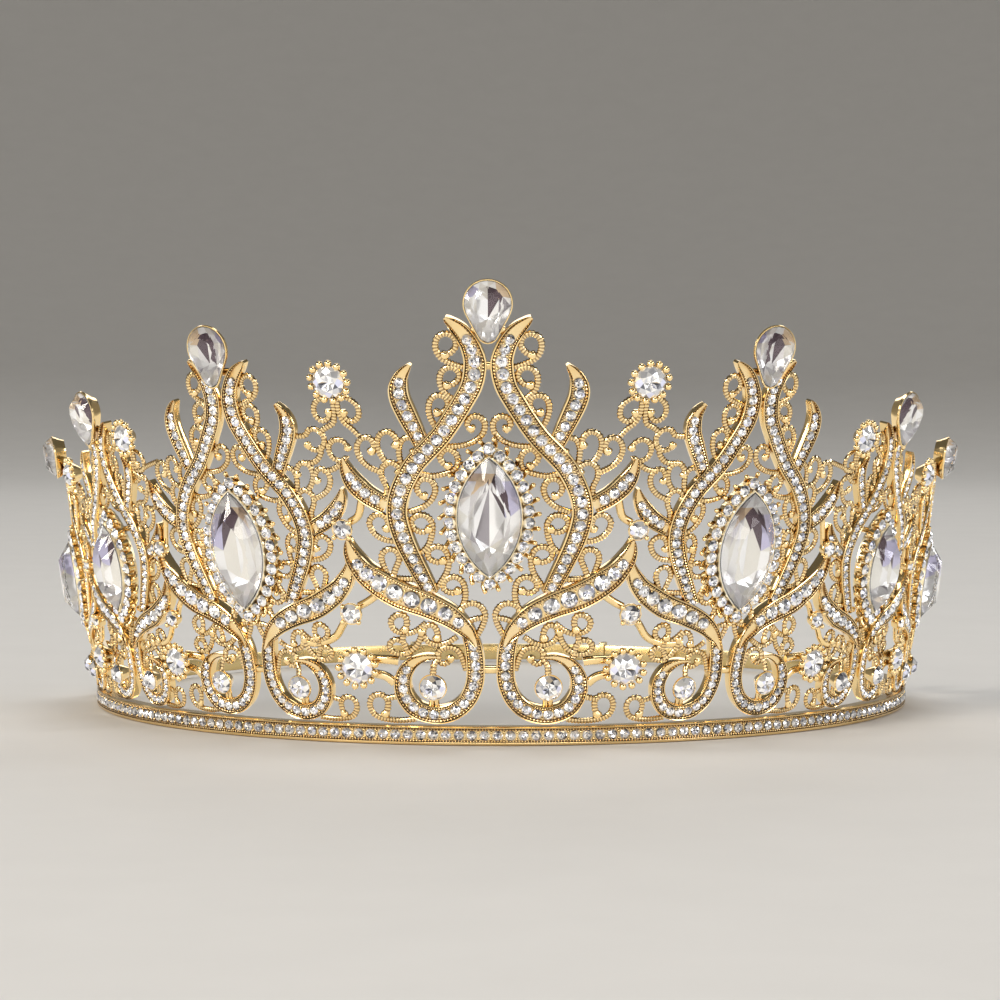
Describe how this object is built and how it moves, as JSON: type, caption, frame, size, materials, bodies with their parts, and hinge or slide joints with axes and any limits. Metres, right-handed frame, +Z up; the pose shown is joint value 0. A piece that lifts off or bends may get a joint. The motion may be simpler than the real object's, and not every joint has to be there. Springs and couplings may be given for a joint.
{
  "type": "pageant crown",
  "caption": "Gold openwork crown: a stone-set band carries seven leaning crest panels of scrolls and leaves with boat and drop stones, and a plain adjustable back band closes the ring.",
  "frame": {"origin": "middle of the ring, at the plane that the crown stands on", "axes": "+Z up, from the ring to the points; -Y is the front, where the tallest panel is; +X is the viewer's right from the front"},
  "size_m": [0.1652, 0.1694, 0.0762],
  "materials": {
    "gold": "bright gold plate over a cast alloy",
    "back_band": "pale gold plate on smooth strip",
    "stone": "clear cut glass with a foil back"
  },
  "bodies": {
    "root": {"front_band": "gold", "panel_center": "gold", "panel_left_1": "gold", "panel_left_2": "gold", "panel_left_3": "gold", "panel_right_1": "gold", "panel_right_2": "gold", "panel_right_3": "gold", "back_strip_left": "back_band", "back_strip_right": "back_band", "marquise_center": "stone", "pear_center": "stone", "scroll_stone_center_left": "stone", "scroll_stone_center_right": "stone", "marquise_left_1": "stone", "pear_left_1": "stone", "scroll_stone_left_1_inner": "stone", "scroll_stone_left_1_outer": "stone", "junction_low_left_1": "stone", "junction_top_left_1": "stone", "marquise_left_2": "stone", "pear_left_2": "stone", "scroll_stone_left_2_inner": "stone", "scroll_stone_left_2_outer": "stone", "junction_low_left_2": "stone", "junction_top_left_2": "stone", "marquise_left_3": "stone", "pear_left_3": "stone", "scroll_stone_left_3_inner": "stone", "scroll_stone_left_3_outer": "stone", "junction_low_left_3": "stone", "junction_top_left_3": "stone", "end_stone_left": "stone", "marquise_right_1": "stone", "pear_right_1": "stone", "scroll_stone_right_1_inner": "stone", "scroll_stone_right_1_outer": "stone", "junction_low_right_1": "stone", "junction_top_right_1": "stone", "marquise_right_2": "stone", "pear_right_2": "stone", "scroll_stone_right_2_inner": "stone", "scroll_stone_right_2_outer": "stone", "junction_low_right_2": "stone", "junction_top_right_2": "stone", "marquise_right_3": "stone", "pear_right_3": "stone", "scroll_stone_right_3_inner": "stone", "scroll_stone_right_3_outer": "stone", "junction_low_right_3": "stone", "junction_top_right_3": "stone", "end_stone_right": "stone"}
  },
  "joints": []
}
